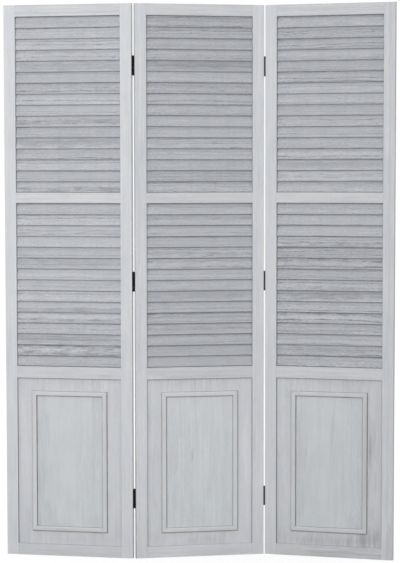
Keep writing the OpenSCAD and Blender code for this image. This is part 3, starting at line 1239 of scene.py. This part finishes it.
@dataclass(frozen=True)
class Lamp:
    """A square soft lamp that points at a target."""

    name: str
    place: Triple
    target: Triple
    size: float
    watts: float

    def build(self) -> None:
        """Makes the lamp and turns it to its target."""
        data = bpy.data.lights.new(self.name, "AREA")
        data.shape = "SQUARE"
        data.size = self.size
        data.energy = self.watts
        lamp = show(self.name, data)
        lamp.location = self.place
        aim = Vector(self.target) - Vector(self.place)
        lamp.rotation_euler = aim.to_track_quat("-Z", "Y").to_euler()


@dataclass
class Studio:
    """The pale floor, the soft light, the white surroundings and the camera.

    The camera sees the floor's glow and shade, and its bounce is what lights the screen. The
    ambient is the surroundings' light. The focal length is in pixels of the picture's height.
    """

    floor_size: float = 40.0
    floor_glow: float = 0.72
    floor_shade: float = 0.30
    floor_bounce: float = 0.5
    ambient: float = 0.97
    lamps: tuple[Lamp, ...] = (
        Lamp("key", (-1.9, -2.4, 2.25), (-0.2, 0.0, 1.0), size=1.2, watts=29.5),
        Lamp("back_fill", (1.5, 4.0, 3.0), (0.0, 0.0, 0.9), size=2.5, watts=25.0),
    )
    camera_place: Triple = (-0.9094, -5.3480, 1.1878)
    camera_yaw: float = 9.671
    camera_pitch: float = 3.530
    camera_roll: float = 0.061
    focal_pixels: float = 1765.9
    picture_height: int = 563
    sensor: float = 36.0
    seen_rays: tuple[str, ...] = ("Camera", "Glossy", "Transmission")

    def seen(self, graph: Graph) -> Signal:
        """Returns 1 where the camera sees a surface, straight, in gloss or through glass."""
        path = graph.node("LightPath")
        return graph.most(*[Signal(graph, path.outputs[f"Is {kind} Ray"]) for kind in self.seen_rays])

    def build_floor(self) -> None:
        """Lays the floor."""
        mesh = bmesh.new()
        bmesh.ops.create_grid(mesh, x_segments=4, y_segments=4, size=self.floor_size / 2)
        data = bpy.data.meshes.new("studio_floor")
        mesh.to_mesh(data)
        mesh.free()
        floor = show("studio_floor", data)
        paint = bpy.data.materials.new("studio_floor")
        graph = Graph(paint)
        bounce = graph.signal("BsdfDiffuse", None, {"Color": grey(self.floor_bounce)})
        shade = graph.signal("BsdfDiffuse", None, {"Color": grey(self.floor_shade)})
        glow = graph.signal("Emission", None, {"Strength": self.floor_glow})
        shown = graph.signal("AddShader", None, {0: shade, 1: glow})
        graph.surface(graph.signal("MixShader", None, {0: self.seen(graph), 1: bounce, 2: shown}))
        data.materials.append(paint)

    def build_world(self) -> None:
        """Makes the surroundings: white to the camera, a plain level of light to the rest."""
        world = bpy.data.worlds.new("studio")
        bpy.context.scene.world = world
        graph = Graph(world)
        strength = graph.blend(self.seen(graph), self.ambient, 1.0)
        light = graph.signal("Background", None, {"Color": grey(1.0), "Strength": strength})
        graph.node("OutputWorld", None, {"Surface": light})

    def build_camera(self) -> None:
        """Sets the camera."""
        data = bpy.data.cameras.new("camera")
        data.sensor_width = self.sensor
        data.lens = self.sensor * self.focal_pixels / self.picture_height
        camera = show("camera", data)
        camera.location = self.camera_place
        turns = (90 - self.camera_pitch, self.camera_roll, -self.camera_yaw)
        camera.rotation_euler = [math.radians(turn) for turn in turns]
        bpy.context.scene.camera = camera

    def build(self) -> None:
        """Builds the whole studio."""
        self.build_floor()
        self.build_world()
        for lamp in self.lamps:
            lamp.build()
        self.build_camera()
        bpy.context.scene.view_settings.view_transform = "Standard"


def main() -> None:
    """Builds the screen's looks and the studio, in order."""
    logging.basicConfig(level=logging.INFO, format="%(name)s: %(message)s")
    panels = (
        Panel("left_panel", 10, LEFT_WEAR_AND_SHADE),
        Panel("middle_panel", 2010, MIDDLE_WEAR_AND_SHADE),
        Panel("right_panel", 4010, RIGHT_WEAR_AND_SHADE),
    )
    for panel in panels:
        panel.dress()
    hinges = Hinges()
    hinges.dress()
    steel = SCREW_STEEL.material("screw_steel")
    for panel, node, side in (
        ("left_panel", "left_panel_hinge_screws", 1),
        ("middle_panel", "middle_panel_left_hinge_screws", -1),
        ("middle_panel", "middle_panel_right_hinge_screws", 1),
        ("right_panel", "right_panel_hinge_screws", -1),
    ):
        screws = ScrewSet(panel, node, side).build(hinges.heights())
        screws.data.materials.append(steel)
    Studio().build()


if __name__ == "__main__":
    main()
